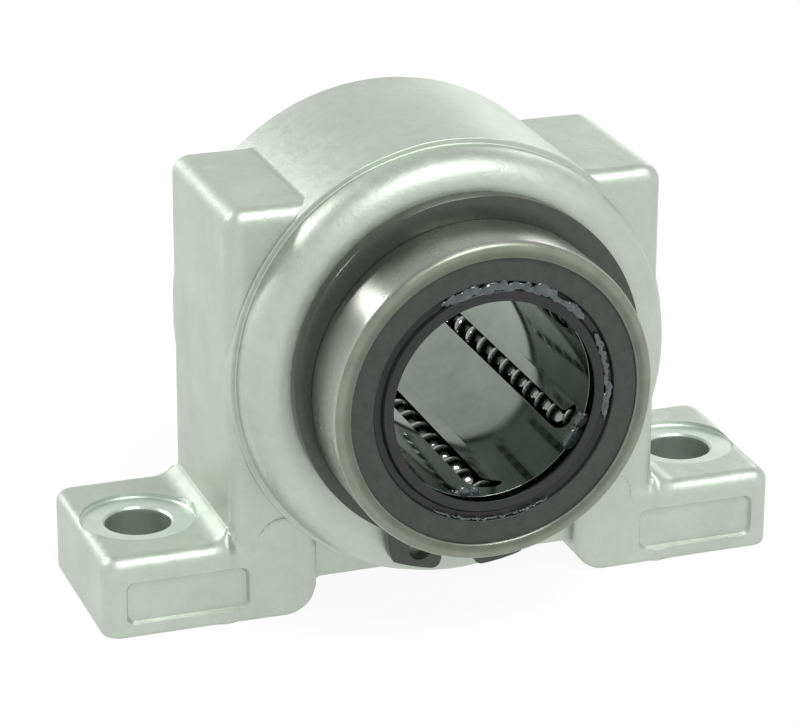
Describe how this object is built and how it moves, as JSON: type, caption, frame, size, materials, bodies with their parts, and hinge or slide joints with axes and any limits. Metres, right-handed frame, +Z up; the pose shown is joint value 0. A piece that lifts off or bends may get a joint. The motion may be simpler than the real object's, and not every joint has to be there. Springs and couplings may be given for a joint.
{
  "type": "linear ball bushing pillow block",
  "caption": "Cast pillow block holding a recirculating linear ball bushing for a round shaft, kept by circlips in its grooves; bolts down through two feet.",
  "frame": {"origin": "on the base plane, midway between the two mounting holes and below the middle of the shaft bore", "axes": "+X along the feet, +Y along the shaft from the front end to the rear end, +Z up from the base plane"},
  "size_m": [0.0702, 0.045, 0.0473],
  "materials": {
    "cast_aluminium": "satin die casting",
    "ground_steel": "ground, slightly warm",
    "cage": "satin grey",
    "ball_steel": "polished, oiled",
    "end_ring_steel": "dull dark steel",
    "seal_rubber": "matt black, greased lip",
    "phosphated_steel": "black phosphate"
  },
  "bodies": {
    "housing": {"housing": "cast_aluminium"},
    "bushing": {"outer_sleeve": "ground_steel", "ball_retainer": "cage", "front_end_ring": "end_ring_steel", "rear_end_ring": "end_ring_steel", "front_seal": "seal_rubber", "rear_seal": "seal_rubber", "front_circlip": "phosphated_steel", "rear_circlip": "phosphated_steel"},
    "circuit_1_loaded_row": {"circuit_1_loaded_row": "ball_steel"},
    "circuit_1_return_row": {"circuit_1_return_row": "ball_steel"},
    "circuit_1_front_turn": {"circuit_1_front_turn": "ball_steel"},
    "circuit_1_rear_turn": {"circuit_1_rear_turn": "ball_steel"},
    "circuit_2_loaded_row": {"circuit_2_loaded_row": "ball_steel"},
    "circuit_2_return_row": {"circuit_2_return_row": "ball_steel"},
    "circuit_2_front_turn": {"circuit_2_front_turn": "ball_steel"},
    "circuit_2_rear_turn": {"circuit_2_rear_turn": "ball_steel"},
    "circuit_3_loaded_row": {"circuit_3_loaded_row": "ball_steel"},
    "circuit_3_return_row": {"circuit_3_return_row": "ball_steel"},
    "circuit_3_front_turn": {"circuit_3_front_turn": "ball_steel"},
    "circuit_3_rear_turn": {"circuit_3_rear_turn": "ball_steel"},
    "circuit_4_loaded_row": {"circuit_4_loaded_row": "ball_steel"},
    "circuit_4_return_row": {"circuit_4_return_row": "ball_steel"},
    "circuit_4_front_turn": {"circuit_4_front_turn": "ball_steel"},
    "circuit_4_rear_turn": {"circuit_4_rear_turn": "ball_steel"},
    "circuit_5_loaded_row": {"circuit_5_loaded_row": "ball_steel"},
    "circuit_5_return_row": {"circuit_5_return_row": "ball_steel"},
    "circuit_5_front_turn": {"circuit_5_front_turn": "ball_steel"},
    "circuit_5_rear_turn": {"circuit_5_rear_turn": "ball_steel"},
    "circuit_6_loaded_row": {"circuit_6_loaded_row": "ball_steel"},
    "circuit_6_return_row": {"circuit_6_return_row": "ball_steel"},
    "circuit_6_front_turn": {"circuit_6_front_turn": "ball_steel"},
    "circuit_6_rear_turn": {"circuit_6_rear_turn": "ball_steel"}
  },
  "joints": [
    {"name": "bushing_turn", "type": "hinge", "parent": "housing", "child": "bushing", "pos_m": [0, 0, 0.025], "axis": [0, 1, 0], "continuous": true},
    {"name": "circuit_1_loaded_slide", "type": "slide", "parent": "bushing", "child": "circuit_1_loaded_row", "axis": [0, 1, 0], "range_m": [-0.001, 0.001]},
    {"name": "circuit_1_return_slide", "type": "slide", "parent": "bushing", "child": "circuit_1_return_row", "axis": [0, 1, 0], "range_m": [-0.001, 0.001]},
    {"name": "circuit_1_front_swing", "type": "hinge", "parent": "bushing", "child": "circuit_1_front_turn", "pos_m": [0.0024, -0.01585, 0.01333], "axis": [-0.0358, 0, -0.9994], "range_deg": [-24, 24]},
    {"name": "circuit_1_rear_swing", "type": "hinge", "parent": "bushing", "child": "circuit_1_rear_turn", "pos_m": [0.0024, 0.01585, 0.01333], "axis": [-0.0358, 0, -0.9994], "range_deg": [-24, 24]},
    {"name": "circuit_2_loaded_slide", "type": "slide", "parent": "bushing", "child": "circuit_2_loaded_row", "axis": [0, 1, 0], "range_m": [-0.001, 0.001]},
    {"name": "circuit_2_return_slide", "type": "slide", "parent": "bushing", "child": "circuit_2_return_row", "axis": [0, 1, 0], "range_m": [-0.001, 0.001]},
    {"name": "circuit_2_front_swing", "type": "hinge", "parent": "bushing", "child": "circuit_2_front_turn", "pos_m": [0.01131, -0.01585, 0.02124], "axis": [0.8476, 0, -0.5307], "range_deg": [-24, 24]},
    {"name": "circuit_2_rear_swing", "type": "hinge", "parent": "bushing", "child": "circuit_2_rear_turn", "pos_m": [0.01131, 0.01585, 0.02124], "axis": [0.8476, 0, -0.5307], "range_deg": [-24, 24]},
    {"name": "circuit_3_loaded_slide", "type": "slide", "parent": "bushing", "child": "circuit_3_loaded_row", "axis": [0, 1, 0], "range_m": [-0.001, 0.001]},
    {"name": "circuit_3_return_slide", "type": "slide", "parent": "bushing", "child": "circuit_3_return_row", "axis": [0, 1, 0], "range_m": [-0.001, 0.001]},
    {"name": "circuit_3_front_swing", "type": "hinge", "parent": "bushing", "child": "circuit_3_front_turn", "pos_m": [0.00891, -0.01585, 0.03291], "axis": [0.8834, 0, 0.4687], "range_deg": [-24, 24]},
    {"name": "circuit_3_rear_swing", "type": "hinge", "parent": "bushing", "child": "circuit_3_rear_turn", "pos_m": [0.00891, 0.01585, 0.03291], "axis": [0.8834, 0, 0.4687], "range_deg": [-24, 24]},
    {"name": "circuit_4_loaded_slide", "type": "slide", "parent": "bushing", "child": "circuit_4_loaded_row", "axis": [0, 1, 0], "range_m": [-0.001, 0.001]},
    {"name": "circuit_4_return_slide", "type": "slide", "parent": "bushing", "child": "circuit_4_return_row", "axis": [0, 1, 0], "range_m": [-0.001, 0.001]},
    {"name": "circuit_4_front_swing", "type": "hinge", "parent": "bushing", "child": "circuit_4_front_turn", "pos_m": [-0.0024, -0.01585, 0.03667], "axis": [0.0358, 0, 0.9994], "range_deg": [-24, 24]},
    {"name": "circuit_4_rear_swing", "type": "hinge", "parent": "bushing", "child": "circuit_4_rear_turn", "pos_m": [-0.0024, 0.01585, 0.03667], "axis": [0.0358, 0, 0.9994], "range_deg": [-24, 24]},
    {"name": "circuit_5_loaded_slide", "type": "slide", "parent": "bushing", "child": "circuit_5_loaded_row", "axis": [0, 1, 0], "range_m": [-0.001, 0.001]},
    {"name": "circuit_5_return_slide", "type": "slide", "parent": "bushing", "child": "circuit_5_return_row", "axis": [0, 1, 0], "range_m": [-0.001, 0.001]},
    {"name": "circuit_5_front_swing", "type": "hinge", "parent": "bushing", "child": "circuit_5_front_turn", "pos_m": [-0.01131, -0.01585, 0.02876], "axis": [-0.8476, 0, 0.5307], "range_deg": [-24, 24]},
    {"name": "circuit_5_rear_swing", "type": "hinge", "parent": "bushing", "child": "circuit_5_rear_turn", "pos_m": [-0.01131, 0.01585, 0.02876], "axis": [-0.8476, 0, 0.5307], "range_deg": [-24, 24]},
    {"name": "circuit_6_loaded_slide", "type": "slide", "parent": "bushing", "child": "circuit_6_loaded_row", "axis": [0, 1, 0], "range_m": [-0.001, 0.001]},
    {"name": "circuit_6_return_slide", "type": "slide", "parent": "bushing", "child": "circuit_6_return_row", "axis": [0, 1, 0], "range_m": [-0.001, 0.001]},
    {"name": "circuit_6_front_swing", "type": "hinge", "parent": "bushing", "child": "circuit_6_front_turn", "pos_m": [-0.00891, -0.01585, 0.01709], "axis": [-0.8834, 0, -0.4687], "range_deg": [-24, 24]},
    {"name": "circuit_6_rear_swing", "type": "hinge", "parent": "bushing", "child": "circuit_6_rear_turn", "pos_m": [-0.00891, 0.01585, 0.01709], "axis": [-0.8834, 0, -0.4687], "range_deg": [-24, 24]}
  ],
  "couplings": [
    {"joint": "circuit_1_return_slide", "follows": "circuit_1_loaded_slide", "ratio": -1},
    {"joint": "circuit_1_front_swing", "follows": "circuit_1_loaded_slide", "rad_per_m": 416.67},
    {"joint": "circuit_1_rear_swing", "follows": "circuit_1_loaded_slide", "rad_per_m": 416.67},
    {"joint": "circuit_2_return_slide", "follows": "circuit_2_loaded_slide", "ratio": -1},
    {"joint": "circuit_2_front_swing", "follows": "circuit_2_loaded_slide", "rad_per_m": 416.67},
    {"joint": "circuit_2_rear_swing", "follows": "circuit_2_loaded_slide", "rad_per_m": 416.67},
    {"joint": "circuit_3_return_slide", "follows": "circuit_3_loaded_slide", "ratio": -1},
    {"joint": "circuit_3_front_swing", "follows": "circuit_3_loaded_slide", "rad_per_m": 416.67},
    {"joint": "circuit_3_rear_swing", "follows": "circuit_3_loaded_slide", "rad_per_m": 416.67},
    {"joint": "circuit_4_return_slide", "follows": "circuit_4_loaded_slide", "ratio": -1},
    {"joint": "circuit_4_front_swing", "follows": "circuit_4_loaded_slide", "rad_per_m": 416.67},
    {"joint": "circuit_4_rear_swing", "follows": "circuit_4_loaded_slide", "rad_per_m": 416.67},
    {"joint": "circuit_5_return_slide", "follows": "circuit_5_loaded_slide", "ratio": -1},
    {"joint": "circuit_5_front_swing", "follows": "circuit_5_loaded_slide", "rad_per_m": 416.67},
    {"joint": "circuit_5_rear_swing", "follows": "circuit_5_loaded_slide", "rad_per_m": 416.67},
    {"joint": "circuit_6_return_slide", "follows": "circuit_6_loaded_slide", "ratio": -1},
    {"joint": "circuit_6_front_swing", "follows": "circuit_6_loaded_slide", "rad_per_m": 416.67},
    {"joint": "circuit_6_rear_swing", "follows": "circuit_6_loaded_slide", "rad_per_m": 416.67}
  ]
}
